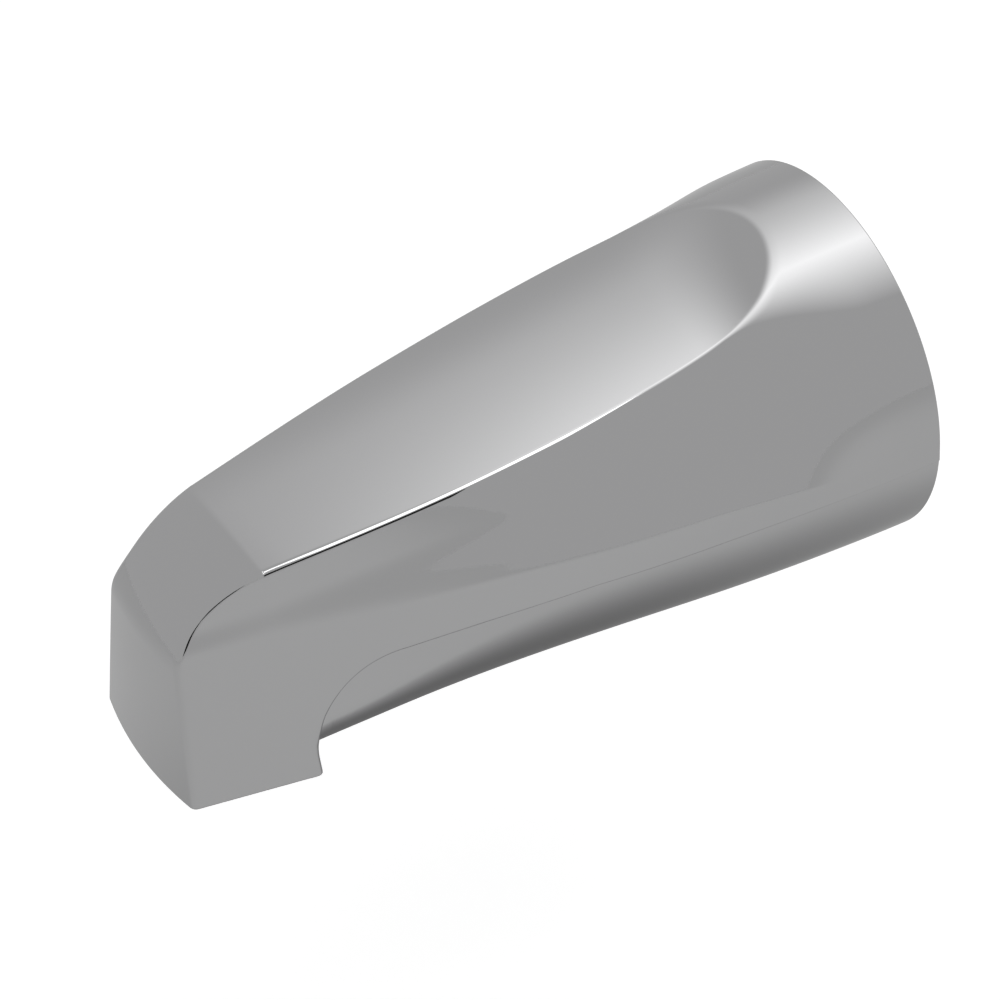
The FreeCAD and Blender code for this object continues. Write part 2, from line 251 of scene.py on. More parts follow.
def belly_outline(reach, top, count):
    """Points of the belly from one height on its side to the middle underneath."""
    half_width, depth, corner, lean = belly_size(reach)
    level = depth - corner
    drop = -top
    side = max(level - drop, 0.0)
    first = math.asin(min(max(drop - level, 0.0) / corner, 1.0))
    arc = corner * (math.pi / 2.0 - first)
    flat = half_width - corner
    points = []
    for i in range(count):
        along = (side + arc + flat) * i / (count - 1)
        if along < side:
            z = drop + along
            points.append((half_width - lean * (level - z), reach, -z))
        elif along < side + arc:
            angle = first + (along - side) / corner
            z = level + corner * math.sin(angle)
            points.append((flat + corner * math.cos(angle), reach, -z))
        else:
            points.append((max(side + arc + flat - along, 0.0), reach, -depth))
    points[-1] = (0.0, reach, -depth)
    return points


def path_points(corners, distances):
    """Places along a run of straight lines."""
    corners = np.array(corners)
    steps = np.linalg.norm(np.diff(corners, axis=0), axis=1)
    lengths = np.concatenate([[0.0], np.cumsum(steps)])
    spots = [np.interp(distances, lengths, corners[:, k]) for k in range(2)]
    return np.stack(spots, -1), lengths


# Each station is a flat cut that holds the x direction. It starts at a point of the
# lower edge and leans towards a point of the middle line, upright along the body and
# fanned out round the back corner of the nose until it lies flat at the outlet.
fan_start = 85.0 * mm
arc_count = 60
chin_count = 40
outlet_z = -outlet_drop + rim_round
arc_angles = np.linspace(0.0, math.pi / 2.0, arc_count)
arc_start_reach = nose_back_reach - edge_arc_radius
low_corners = [(fan_start, float(edge_z(fan_start)))]
for angle in arc_angles:
    low_corners.append((
        arc_start_reach + edge_arc_radius * math.sin(angle),
        -edge_drop_at_arc - edge_arc_radius * (1.0 - math.cos(angle)),
    ))
back_foot = -edge_drop_at_arc - edge_arc_radius
low_corners.append((nose_back_reach, outlet_z))
high_corners = [(fan_start, crease_height + tongue_slope * (crease_reach - fan_start))]
for turn in np.linspace(0.0, chin_turn, chin_count):
    high_corners.append((
        chin_centre_reach + chin_radius * math.sin(chin_start + turn),
        chin_centre_z + chin_radius * math.cos(chin_start + turn),
    ))
front_fall = (chin_foot_z - outlet_z) * math.tan(front_lean)
high_corners.append((chin_foot_reach + front_fall, outlet_z))


def spaced(stops, gaps):
    """Distances from the first stop to the last, with a gap for each run."""
    found = [stops[0]]
    for start, end, gap in zip(stops, stops[1:], gaps):
        count = max(1, round((end - start) / gap))
        found.extend(start + (end - start) * (k + 1) / count for k in range(count))
    return np.array(found) * mm


# Stations stand closer where the skin turns: at the tongue's rear end, at the crease and
# at the foot of the chin.
rear_reaches = spaced([0.3, 11, 18, 36, 85], [0.9, 0.25, 0.5, 1.0])
crease_run = (crease_reach - fan_start) * math.sqrt(1.0 + tongue_slope ** 2) / mm
foot_run = crease_run + chin_radius * chin_turn / mm
end_run = path_points(high_corners, [0.0])[1][-1] / mm
stops = [0, crease_run - 1.5, crease_run + 1.5, foot_run - 4, foot_run + 4, end_run]
high_runs = spaced(stops, [0.9, 0.15, 0.6, 0.3, 0.7])[1:]
high_points = path_points(high_corners, high_runs)[0]
low_length = path_points(low_corners, [0.0])[1][-1]
low_points = path_points(low_corners, low_length * high_runs / high_runs[-1])[0]
on_arc = np.searchsorted(-low_points[:, 1], -back_foot)
low_points[on_arc] = (nose_back_reach, back_foot)

rear_low = np.stack([rear_reaches, edge_z(rear_reaches)], -1)
low = np.concatenate([rear_low, low_points])
leans = np.concatenate([np.tile([0.0, 1.0], (len(rear_low), 1)), high_points - low_points])
leans /= np.linalg.norm(leans, axis=1, keepdims=True)
last_belly = len(rear_low) + on_arc

past_skin = 60.0 * mm
halvings = 26


def cut_to_skin(theta):
    """Points and outward normals of the skin on rays fanned over every station."""
    across = np.cos(theta)
    along = np.sin(theta) * leans[:, 0:1]
    up = np.sin(theta) * leans[:, 1:2]
    near = np.zeros_like(theta)
    far = np.full_like(theta, past_skin)
    for _ in range(halvings):
        mid = (near + far) / 2.0
        field = upper_field(across * mid, low[:, 0:1] + along * mid, low[:, 1:2] + up * mid)
        inside = field < 0.0
        near = np.where(inside, mid, near)
        far = np.where(inside, far, mid)
    spots = (across * far, low[:, 0:1] + along * far, low[:, 1:2] + up * far)
    return np.stack(spots, -1), gradient(upper_field, *spots)


degrees_per_mm = 4.0


def even_out(theta, points, normals, count, first):
    """Ray angles that give each station count points, closer where it turns."""
    steps = np.linalg.norm(np.diff(points, axis=1), axis=-1)
    dots = np.sum(normals[:, 1:] * normals[:, :-1], -1)
    turns = np.degrees(np.arccos(np.clip(dots, -1.0, 1.0)))
    weight = np.cumsum(steps / mm + turns / degrees_per_mm, axis=1)
    length = np.cumsum(steps, axis=1)
    found = np.empty((len(theta), count))
    for i in range(len(theta)):
        total = np.concatenate([[0.0], weight[i]])
        start = np.interp(first[i], np.concatenate([[0.0], length[i]]), total)
        wanted = np.linspace(start, total[-1], count)
        found[i] = np.interp(wanted, total, theta[i])
    found[:, -1] = math.pi / 2.0
    return found


rough_count = 500
upper_count = 96
lip_steps = 5
belly_count = 44
bottom_count = 12
roll_count = 5
theta = np.tile(np.linspace(0.0, math.pi / 2.0, rough_count), (len(low), 1))
rough_points, rough_normals = cut_to_skin(theta)
edge_points = rough_points[:, 0]
belly_top_x = []
for i, (reach, z) in enumerate(low):
    if i <= last_belly:
        belly_top_x.append(belly_outline(reach, z, 2)[0][0])
    else:
        belly_top_x.append(0.0)
ledge = edge_points[:, 0] - np.array(belly_top_x)
widen = smooth_step((-low[:, 1] - back_corner_drop) / back_corner_run)
lip_round = edge_round + (back_corner_round - edge_round) * widen
lip_round = np.minimum(lip_round, most_lip_share * ledge)
theta = even_out(theta, rough_points, rough_normals, upper_count, lip_round)
upper_points, upper_normals = cut_to_skin(theta)
upper_points[:, -1, 0] = 0.0

# The lip rounds the lower edge under, and the ledge runs in from it to the belly.
lip_points = []
for share in np.linspace(0.0, 1.0, lip_steps + 1)[:-1]:
    inner = edge_points - np.stack([lip_round, 0 * lip_round, 0 * lip_round], -1)
    a = (1.0 - share) ** 2
    b = 2.0 * share * (1.0 - share)
    lip_points.append(a * inner + b * edge_points + share ** 2 * upper_points[:, 0])
ledge_points = edge_points.copy()
ledge_points[:, 0] = belly_top_x


def grid_normals(points):
    along = np.gradient(points, axis=0)
    up = np.gradient(points, axis=1)
    found = np.cross(along, up)
    return found / np.maximum(np.linalg.norm(found, axis=-1, keepdims=True), 1e-12)


class Skin:
    """Patches of a skin with the normals that each has at its points."""

    def __init__(self):
        self.points = []
        self.normals = []
        self.faces = []
        self.count = 0

    def add(self, points, normals, faces):
        points = np.asarray(points, dtype=float).reshape(-1, 3)
        normals = np.asarray(normals, dtype=float).reshape(-1, 3)
        self.points.append(points)
        self.normals.append(normals)
        for face in faces:
            middle = points[list(face)]
            turned = np.cross(middle[1] - middle[0], middle[2] - middle[0])
            if len(face) == 4:
                turned = np.cross(middle[2] - middle[0], middle[3] - middle[1])
            facing = turned @ normals[list(face)].sum(0)
            order = face if facing >= 0.0 else face[::-1]
            self.faces.append([k + self.count for k in order])
        self.count += len(points)

    def add_grid(self, points, normals):
        rows, columns = points.shape[:2]
        faces = []
        for i in range(rows - 1):
            for j in range(columns - 1):
                k = i * columns + j
                faces.append((k, k + 1, k + columns + 1, k + columns))
        self.add(points, normals, faces)

    def add_both_sides(self, points, normals, faces=None):
        for side in (1.0, -1.0):
            flip = np.array([side, 1.0, 1.0])
            if faces is None:
                self.add_grid(points * flip, normals * flip)
            else:
                self.add(points * flip, normals * flip, faces)


def in_frame(points):
    """From x, reach and height to the frame's x, y and z."""
    return points * np.array([1.0, -1.0, 1.0])


def zip_faces(places_a, places_b, start_b):
    """Triangles between two runs of points whose places along the way are given."""
    faces = []
    i = 0
    j = 0
    while i < len(places_a) - 1 or j < len(places_b) - 1:
        last_a = i == len(places_a) - 1
        last_b = j == len(places_b) - 1
        if last_b or (not last_a and places_a[i + 1] <= places_b[j + 1]):
            faces.append((i, i + 1, start_b + j))
            i += 1
        else:
            faces.append((i, start_b + j + 1, start_b + j))
            j += 1
    return faces


def run_shares(points):
    steps = np.linalg.norm(np.diff(points, axis=0), axis=1)
    total = np.concatenate([[0.0], np.cumsum(steps)])
    return total / total[-1]


skin = Skin()
skin.add_both_sides(in_frame(upper_points), in_frame(upper_normals))

lip_grid = np.stack([*lip_points, upper_points[:, 0]], 1)
lip_normals = -grid_normals(in_frame(lip_grid))
lip_normals[:, -1] = in_frame(upper_normals[:, 0])
down = np.zeros((len(low), 3))
edge_run = np.gradient(low, axis=0)
edge_run /= np.linalg.norm(edge_run, axis=1, keepdims=True)
down[:, 1] = edge_run[:, 1]
down[:, 2] = -edge_run[:, 0]
lip_normals[:, 0] = in_frame(down)
skin.add_both_sides(in_frame(lip_grid), lip_normals)

ledge_grid = np.stack([ledge_points, lip_grid[:, 0]], 1)[: last_belly + 1]
ledge_normals = np.repeat(in_frame(down)[: last_belly + 1, None], 2, 1)
skin.add_both_sides(in_frame(ledge_grid), ledge_normals)

# The belly stands inside the cheeks and ends at the back of the nose, which closes the
# way from the ledge down to the outlet.
belly_points = []
for reach, z in low[: last_belly + 1]:
    belly_points.append(belly_outline(reach, z, belly_count))
belly_points = np.array(belly_points)
belly_normals = grid_normals(in_frame(belly_points))
skin.add_both_sides(in_frame(belly_points), belly_normals)

outer_run = lip_grid[last_belly:, 0]
bottom_xs = np.linspace(outer_run[-1, 0], 0.0, bottom_count)[1:]
bottom_run = np.array([(x, nose_back_reach, outlet_z) for x in bottom_xs])
outer_run = np.concatenate([outer_run, bottom_run])
inner_run = belly_points[last_belly]
back_points = np.concatenate([outer_run, inner_run])
back_faces = zip_faces(run_shares(outer_run), run_shares(inner_run), len(outer_run))
back_normals = np.tile([0.0, 1.0, 0.0], (len(back_points), 1))
skin.add_both_sides(in_frame(back_points), back_normals, back_faces)


def whole_ring(half):
    """A closed ring from its half, which starts and ends in the middle plane."""
    other = (half * np.array([-1.0, 1.0, 1.0]))[1:-1][::-1]
    return np.concatenate([half, other])


def roll_ring(ring, level_axis, level_step, round_axis=False):
    """Rows that round a ring's edge over into the flat end beyond it.

    round_axis says that the ring goes round the Y axis, which then gives its outward side.
    """
    ahead = np.roll(ring, -1, axis=0) - np.roll(ring, 1, axis=0)
    step = np.zeros(3)
    step[level_axis] = level_step
    outward = np.cross(ahead, step)
    if round_axis:
        outward = ring * np.array([1.0, 0.0, 1.0])
    outward /= np.linalg.norm(outward, axis=1, keepdims=True)
    if np.sum(outward * (ring - ring.mean(0))) < 0.0:
        outward = -outward
    rows = []
    normals = []
    for angle in np.linspace(0.0, math.pi / 2.0, roll_count):
        rows.append(ring - outward * rim_round * (1.0 - math.cos(angle)) + step * math.sin(angle))
        normals.append(outward * math.cos(angle) + step / rim_round * math.sin(angle))
    rows[0] = ring
    rows = np.stack(rows)
    normals = np.stack(normals)
    closed = np.concatenate([rows, rows[:, :1]], 1), np.concatenate([normals, normals[:, :1]], 1)
    skin.add_grid(*closed)
    return rows[-1]


# Both open ends roll over into a flat rim.
rear_half = np.concatenate([belly_points[0][::-1], lip_grid[0], upper_points[0][1:]])
rear_ring = roll_ring(whole_ring(in_frame(rear_half)), 1, rim_round, round_axis=True)
outlet_half = np.concatenate([bottom_run[::-1], lip_grid[-1], upper_points[-1][1:]])
outlet_ring = roll_ring(whole_ring(in_frame(outlet_half)), 2, -rim_round)

# Inside of the casting: a merged copy of the frame's own, parted from its outside at the
# two flat rims and at the lower rear corners of the water way. The frame's wall is open
# in those corners, so there the inside is closed and drawn in behind the skin.
weld = 0.002 * mm
on_rim = 0.02 * mm
rim_facing = 0.9
outlet_middle_ahead = 11.0 * mm
inside_smooth_angle = math.radians(30.0)
boss_centre = Vector((0.0, -80.0 * mm, 0.0))
corner_reaches = (96.0 * mm, 107.5 * mm)
corner_heights = (-17.0 * mm, -7.0 * mm)
corner_side = 9.0 * mm
corner_fold = 0.6
corner_wall = 1.0 * mm


def in_corner(spot):
    along = corner_reaches[0] < -spot.y < corner_reaches[1]
    upright = corner_heights[0] < spot.z < corner_heights[1]
    return along and upright and abs(spot.x) > corner_side


inside = bmesh.new()
inside.from_mesh(bpy.data.objects["spout_body"].data)
bmesh.ops.remove_doubles(inside, verts=inside.verts, dist=weld)
rims = []
for face in inside.faces:
    middle = face.calc_center_median()
    at_wall = middle.y > -on_rim and face.normal.y > rim_facing
    at_outlet = middle.y < -nose_back_reach and face.normal.z < -rim_facing
    if at_wall or at_outlet and abs(middle.z + outlet_drop) < on_rim:
        rims.append(face)
bmesh.ops.delete(inside, geom=rims, context="FACES")
nearest = min(inside.faces, key=lambda face: (face.calc_center_median() - boss_centre).length)
reached = {nearest}
waiting = [nearest]
while waiting:
    face = waiting.pop()
    for edge in face.edges:
        middle = (edge.verts[0].co + edge.verts[1].co) / 2.0
        if in_corner(middle) and edge.calc_face_angle(0.0) > corner_fold:
            continue
        for neighbour in edge.link_faces:
            if neighbour not in reached:
                reached.add(neighbour)
                waiting.append(neighbour)
outside = [face for face in inside.faces if face not in reached]
bmesh.ops.delete(inside, geom=outside, context="FACES")
corner_edges = [edge for edge in inside.edges if edge.is_boundary and in_corner(edge.verts[0].co)]
bmesh.ops.holes_fill(inside, edges=corner_edges, sides=0)
for vertex in inside.verts:
    if in_corner(vertex.co) and vertex.co.y > -nose_back_reach:
        half_width, depth, corner, _ = belly_size(-vertex.co.y)
        below = max(-vertex.co.z - depth + corner, 0.0)
        room = half_width - corner + math.sqrt(max(corner ** 2 - below ** 2, 0.0)) - corner_wall
        vertex.co.x = math.copysign(min(abs(vertex.co.x), room), vertex.co.x)
open_spots = [v.co.copy() for v in inside.verts if v.is_boundary]
inside_mesh = bpy.data.meshes.new("spout_inside")
inside.to_mesh(inside_mesh)
inside.free()
inside_mesh.set_sharp_from_angle(angle=inside_smooth_angle)
inside_points = np.array([v.co for v in inside_mesh.vertices])
inside_corners = [c.vector.copy() for c in inside_mesh.corner_normals]
inside_faces = [list(p.vertices) for p in inside_mesh.polygons]


def flat_rim(ring, spots, centre, axes, normal):
    """Flat rim between the skin's ring and the mouth of the hollow inside it."""
    spots = np.array([list(s) for s in spots])
    turn_a = np.arctan2(ring[:, axes[1]] - centre[1], ring[:, axes[0]] - centre[0])
    turn_b = np.arctan2(spots[:, axes[1]] - centre[1], spots[:, axes[0]] - centre[0])
    if np.median(np.diff(turn_a)) < 0.0:
        ring = ring[::-1]
        turn_a = turn_a[::-1]
    start = int(np.argmin(turn_a))
    ring = np.roll(ring, -start, axis=0)
    turn_a = np.maximum.accumulate(np.roll(turn_a, -start))
    turn_a = np.append(turn_a, turn_a[0] + 2.0 * math.pi)
    spots = spots[np.argsort(turn_b)]
    turn_b = np.append(np.sort(turn_b), np.sort(turn_b)[0] + 2.0 * math.pi)
    points = np.concatenate([ring, ring[:1], spots, spots[:1]])
    faces = zip_faces(turn_a, turn_b, len(turn_a))
    skin.add(points, np.tile(normal, (len(points), 1)), faces)


rear_mouth = [s for s in open_spots if s.y > -on_rim]
flat_rim(rear_ring, rear_mouth, (0.0, 0.0), (0, 2), (0.0, 1.0, 0.0))
outlet_spots = [s for s in open_spots if s.z < -outlet_drop + on_rim]
outlet_mouth = [s for s in outlet_spots if s.y < -nose_back_reach]
outlet_centre = (0.0, -(nose_back_reach + outlet_middle_ahead))
flat_rim(outlet_ring, outlet_mouth, outlet_centre, (0, 1), (0.0, 0.0, -1.0))

# Skin, rims and inside become one closed mesh with the skin's own normals.
points = np.concatenate(skin.points).astype(np.float32)
corner_normals = np.concatenate(skin.normals)
points = np.concatenate([points, inside_points.astype(np.float32)])
merged, place = np.unique(points, axis=0, return_inverse=True)
place = place.reshape(-1)
faces = []
normals = []
inner_flags = []
for face in skin.faces:
    places = [place[k] for k in face]
    keep = [k for n, k in enumerate(places) if k != places[n - 1]]
    if len(set(keep)) < 3:
        continue
    kept_normals = [corner_normals[face[n]] for n, k in enumerate(places) if k != places[n - 1]]
    faces.append(keep)
    normals.extend(kept_normals)
    inner_flags.append(0.0)
corner = 0
for face in inside_faces:
    faces.append([place[k + skin.count] for k in face])
    normals.extend(inside_corners[corner:corner + len(face)])
    corner += len(face)
    inner_flags.append(1.0)
mesh = bpy.data.meshes.new("spout_body_polished")
mesh.from_pydata([tuple(map(float, p)) for p in merged], [], [list(map(int, f)) for f in faces])
spout = bpy.data.objects.new("spout_body_polished", mesh)
bpy.context.collection.objects.link(spout)
mesh.shade_smooth()
mesh.normals_split_custom_set([tuple(map(float, n)) for n in normals])
flags = mesh.attributes.new("inside", "FLOAT", "FACE")
flags.data.foreach_set("value", inner_flags)

# Fine unevenness of a worked surface: a roughness between two values, and its height.
surface_wear = bpy.data.node_groups.new("surface_wear", "ShaderNodeTree")
for socket_name, start in (("Scale", 60.0), ("Low", 0.03), ("High", 0.06)):
    socket = surface_wear.interface.new_socket(
        name=socket_name, in_out="INPUT", socket_type="NodeSocketFloat"
    )
    socket.default_value = start
surface_wear.interface.new_socket(name="Roughness", in_out="OUTPUT", socket_type="NodeSocketFloat")
surface_wear.interface.new_socket(name="Height", in_out="OUTPUT", socket_type="NodeSocketFloat")
wear_in = surface_wear.nodes.new("NodeGroupInput")
wear_out = surface_wear.nodes.new("NodeGroupOutput")
wear_place = surface_wear.nodes.new("ShaderNodeTexCoord")
wear_noise = surface_wear.nodes.new("ShaderNodeTexNoise")
wear_noise.inputs["Detail"].default_value = 5.0
wear_range = surface_wear.nodes.new("ShaderNodeMapRange")
wear_range.inputs["From Min"].default_value = 0.3
wear_range.inputs["From Max"].default_value = 0.7
surface_wear.links.new(wear_place.outputs["Object"], wear_noise.inputs["Vector"])
surface_wear.links.new(wear_in.outputs["Scale"], wear_noise.inputs["Scale"])
surface_wear.links.new(wear_noise.outputs["Fac"], wear_range.inputs["Value"])
surface_wear.links.new(wear_in.outputs["Low"], wear_range.inputs["To Min"])
surface_wear.links.new(wear_in.outputs["High"], wear_range.inputs["To Max"])
surface_wear.links.new(wear_range.outputs["Result"], wear_out.inputs["Roughness"])
surface_wear.links.new(wear_noise.outputs["Fac"], wear_out.inputs["Height"])


def add_wear(material, scale, low, high):
    """Place the wear group in a material with its own values."""
    node = material.node_tree.nodes.new("ShaderNodeGroup")
    node.node_tree = surface_wear
    node.inputs["Scale"].default_value = scale
    node.inputs["Low"].default_value = low
    node.inputs["High"].default_value = high
    return node


chrome = bpy.data.materials.new("polished_chrome")
chrome.use_nodes = True
nodes = chrome.node_tree.nodes
links = chrome.node_tree.links
shader = nodes["Principled BSDF"]
polish = add_wear(chrome, 90.0, 0.03, 0.055)
casting_skin = add_wear(chrome, 900.0, 0.32, 0.5)
is_inside = nodes.new("ShaderNodeAttribute")
is_inside.attribute_name = "inside"
plate_colour = nodes.new("ShaderNodeMix")
plate_colour.data_type = "RGBA"
plate_colour.inputs[6].default_value = (0.57, 0.57, 0.575, 1.0)
plate_colour.inputs[7].default_value = (0.5, 0.5, 0.51, 1.0)
plate_roughness = nodes.new("ShaderNodeMix")
links.new(is_inside.outputs["Fac"], plate_colour.inputs["Factor"])
links.new(is_inside.outputs["Fac"], plate_roughness.inputs["Factor"])
links.new(polish.outputs["Roughness"], plate_roughness.inputs[2])
links.new(casting_skin.outputs["Roughness"], plate_roughness.inputs[3])
links.new(plate_colour.outputs[2], shader.inputs["Base Color"])
links.new(plate_roughness.outputs[0], shader.inputs["Roughness"])
plated_share = nodes.new("ShaderNodeMapRange")
plated_share.inputs["To Min"].default_value = 1.0
plated_share.inputs["To Max"].default_value = 0.15
links.new(is_inside.outputs["Fac"], plated_share.inputs["Value"])
links.new(plated_share.outputs["Result"], shader.inputs["Metallic"])
pitting = nodes.new("ShaderNodeMath")
pitting.operation = "MULTIPLY"
links.new(is_inside.outputs["Fac"], pitting.inputs[0])
links.new(casting_skin.outputs["Height"], pitting.inputs[1])
relief = nodes.new("ShaderNodeBump")
relief.inputs["Strength"].default_value = 0.5
relief.inputs["Distance"].default_value = 0.0003
links.new(pitting.outputs[0], relief.inputs["Height"])
links.new(relief.outputs["Normal"], shader.inputs["Normal"])
mesh.materials.append(chrome)
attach(spout, "root")
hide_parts("spout_body")

# Pipe thread insert
# A turned brass sleeve with an internal pipe thread, which screws onto the nipple in the
# wall. The casting is poured round it, and only its end shows inside the body.
insert_start_reach = 71.0 * mm
insert_end_reach = 93.0 * mm
insert_radius = 12.6 * mm
groove_radius = 11.8 * mm
groove_from = 80.0 * mm
groove_to = 84.0 * mm
bore_radius = 9.35 * mm
mouth_chamfer = 1.2 * mm
outer_chamfer = 0.5 * mm
thread_pitch = 1.814 * mm
thread_depth = 1.1 * mm
thread_runout = 1.8 * mm
thread_flat_share = 0.1
plain_end = 0.1 * mm
near_bore = 0.01 * mm
rows_per_turn = 6
ring_count = 96

mouth_reach = insert_start_reach + mouth_chamfer
thread_rows = round((insert_end_reach - mouth_reach) / thread_pitch * rows_per_turn)
profile = [
    (mouth_reach, bore_radius),
    (insert_start_reach, bore_radius + mouth_chamfer),
    (insert_start_reach, insert_radius - outer_chamfer),
    (insert_start_reach + outer_chamfer, insert_radius),
    (groove_from, insert_radius),
    (groove_from, groove_radius),
    (groove_to, groove_radius),
    (groove_to, insert_radius),
    (insert_end_reach, insert_radius),
]
for i in range(thread_rows):
    row_reach = insert_end_reach + (mouth_reach - insert_end_reach) * i / thread_rows
    profile.append((row_reach, bore_radius))
bpy.ops.object.select_all(action="DESELECT")
bpy.ops.mesh.primitive_circle_add(
    vertices=ring_count,
    radius=profile[0][1],
    location=(0.0, -profile[0][0], 0.0),
    rotation=(math.radians(90.0), 0.0, 0.0),
)
insert = bpy.context.object
insert.name = "pipe_thread_insert"
bpy.ops.object.transform_apply(location=True, rotation=True, scale=True)
bpy.ops.object.mode_set(mode="EDIT")
bpy.ops.mesh.select_all(action="SELECT")
for (reach_a, radius_a), (reach_b, radius_b) in zip(profile, profile[1:] + profile[:1]):
    move = {"value": (0.0, reach_a - reach_b, 0.0)}
    bpy.ops.mesh.extrude_region_move(TRANSFORM_OT_translate=move)
    grow = radius_b / radius_a
    bpy.ops.transform.resize(value=(grow, 1.0, grow), center_override=(0.0, -reach_b, 0.0))
bpy.ops.mesh.select_all(action="SELECT")
bpy.ops.mesh.remove_doubles(threshold=0.005 * mm)
bpy.ops.mesh.normals_make_consistent(inside=False)
bpy.ops.object.mode_set(mode="OBJECT")
for vertex in insert.data.vertices:
    reach = -vertex.co.y
    radius = math.hypot(vertex.co.x, vertex.co.z)
    from_ends = min(reach - mouth_reach, insert_end_reach - reach)
    if radius < bore_radius + near_bore and from_ends > plain_end:
        turn = math.atan2(vertex.co.z, vertex.co.x) / (2.0 * math.pi)
        along = (reach / thread_pitch + turn) % 1.0
        flank = 1.0 - abs(2.0 * along - 1.0)
        flank = (flank - thread_flat_share) / (1.0 - 2.0 * thread_flat_share)
        flank = min(max(flank, 0.0), 1.0)
        deeper = thread_depth * flank * min(from_ends / thread_runout, 1.0)
        vertex.co.x *= 1.0 + deeper / radius
        vertex.co.z *= 1.0 + deeper / radius
bpy.ops.object.shade_smooth_by_angle(angle=math.radians(25.0))

brass = bpy.data.materials.new("turned_brass")
brass.use_nodes = True
brass_shader = brass.node_tree.nodes["Principled BSDF"]
brass_shader.inputs["Metallic"].default_value = 1.0
brass_nodes = brass.node_tree.nodes
brass_links = brass.node_tree.links
brass_wear = add_wear(brass, 350.0, 0.24, 0.4)
brass_links.new(brass_wear.outputs["Roughness"], brass_shader.inputs["Roughness"])
brass_tone = brass_nodes.new("ShaderNodeMix")
brass_tone.data_type = "RGBA"
brass_tone.inputs[6].default_value = (0.60, 0.42, 0.19, 1.0)
brass_tone.inputs[7].default_value = (0.78, 0.58, 0.30, 1.0)
brass_links.new(brass_wear.outputs["Height"], brass_tone.inputs["Factor"])
brass_links.new(brass_tone.outputs[2], brass_shader.inputs["Base Color"])
turning_place = brass_nodes.new("ShaderNodeTexCoord")
turning = brass_nodes.new("ShaderNodeTexWave")
turning.wave_type = "RINGS"
turning.rings_direction = "Y"
turning.inputs["Scale"].default_value = 900.0
turning.inputs["Distortion"].default_value = 1.5
turning_relief = brass_nodes.new("ShaderNodeBump")
turning_relief.inputs["Strength"].default_value = 0.25
turning_relief.inputs["Distance"].default_value = 0.00005
brass_links.new(turning_place.outputs["Object"], turning.inputs["Vector"])
brass_links.new(turning.outputs["Fac"], turning_relief.inputs["Height"])
brass_links.new(turning_relief.outputs["Normal"], brass_shader.inputs["Normal"])
insert.data.materials.append(brass)
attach(insert, "root")
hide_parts("threaded_insert")

# Floor and light
# A pale floor below the spout with a painted shadow round the spout that only reflections show, a
# grey studio with a softly glowing ceiling, one softbox beside the nose and two black cloths that
# draw the dark lines along the ridges.
floor_size = 6.0
floor_gap = 70.0 * mm
floor_glow = 0.6
floor_grey = (0.66, 0.66, 0.66, 1.0)
floor_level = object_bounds()[0][2]
bpy.ops.mesh.primitive_plane_add(size=floor_size, location=(0.0, 0.0, floor_level - floor_gap))
floor = bpy.context.object
floor.name = "studio_floor"
floor_paint = bpy.data.materials.new("pale_floor")
floor_paint.use_nodes = True
floor_nodes = floor_paint.node_tree.nodes
floor_nodes["Principled BSDF"].inputs["Roughness"].default_value = 0.9
seen = floor_nodes.new("ShaderNodeLightPath")
bright = floor_nodes.new("ShaderNodeEmission")
bright.inputs["Strength"].default_value = floor_glow
together = floor_nodes.new("ShaderNodeAddShader")
choose = floor_nodes.new("ShaderNodeMixShader")
floor_links = floor_paint.node_tree.links
# Painted shadow: in the metal's reflections the floor is darker round the spout's place, 0.3 under
# it fading to 0.72 further out.
floor_place = floor_nodes.new("ShaderNodeTexCoord")
painted_shadow_mapping = floor_nodes.new("ShaderNodeMapping")
painted_shadow_mapping.inputs["Location"].default_value = (0.0, 0.045, 0.0)
painted_shadow_mapping.inputs["Scale"].default_value = (1.0, 0.6, 0.0)
painted_shadow_distance = floor_nodes.new("ShaderNodeVectorMath")
painted_shadow_distance.operation = "LENGTH"
painted_shadow_under_spout = floor_nodes.new("ShaderNodeMapRange")
painted_shadow_under_spout.interpolation_type = "SMOOTHSTEP"
for name, number in (("From Min", 0.02), ("From Max", 0.13), ("To Min", 0.3), ("To Max", 0.72)):
    painted_shadow_under_spout.inputs[name].default_value = number
floor_links.new(floor_place.outputs["Object"], painted_shadow_mapping.inputs["Vector"])
floor_links.new(painted_shadow_mapping.outputs["Vector"], painted_shadow_distance.inputs[0])
floor_links.new(painted_shadow_distance.outputs["Value"], painted_shadow_under_spout.inputs["Value"])
# Reflected rays see the painted shadow, and every other ray sees the even floor grey.
floor_grey_or_painted_shadow = floor_nodes.new("ShaderNodeMix")
floor_grey_or_painted_shadow.data_type = "RGBA"
floor_grey_or_painted_shadow.inputs[6].default_value = floor_grey
floor_links.new(seen.outputs["Is Glossy Ray"], floor_grey_or_painted_shadow.inputs["Factor"])
floor_links.new(painted_shadow_under_spout.outputs["Result"], floor_grey_or_painted_shadow.inputs[7])
floor_links.new(floor_grey_or_painted_shadow.outputs[2], floor_nodes["Principled BSDF"].inputs["Base Color"])
floor_links.new(floor_nodes["Principled BSDF"].outputs[0], together.inputs[0])
floor_links.new(bright.outputs[0], together.inputs[1])
floor_links.new(seen.outputs["Is Camera Ray"], choose.inputs[0])
floor_links.new(floor_nodes["Principled BSDF"].outputs[0], choose.inputs[1])
floor_links.new(together.outputs[0], choose.inputs[2])
floor_side = floor_nodes.new("ShaderNodeNewGeometry")
from_below = floor_nodes.new("ShaderNodeBsdfTransparent")
either_side = floor_nodes.new("ShaderNodeMixShader")
floor_links.new(floor_side.outputs["Backfacing"], either_side.inputs[0])
floor_links.new(choose.outputs[0], either_side.inputs[1])
floor_links.new(from_below.outputs[0], either_side.inputs[2])
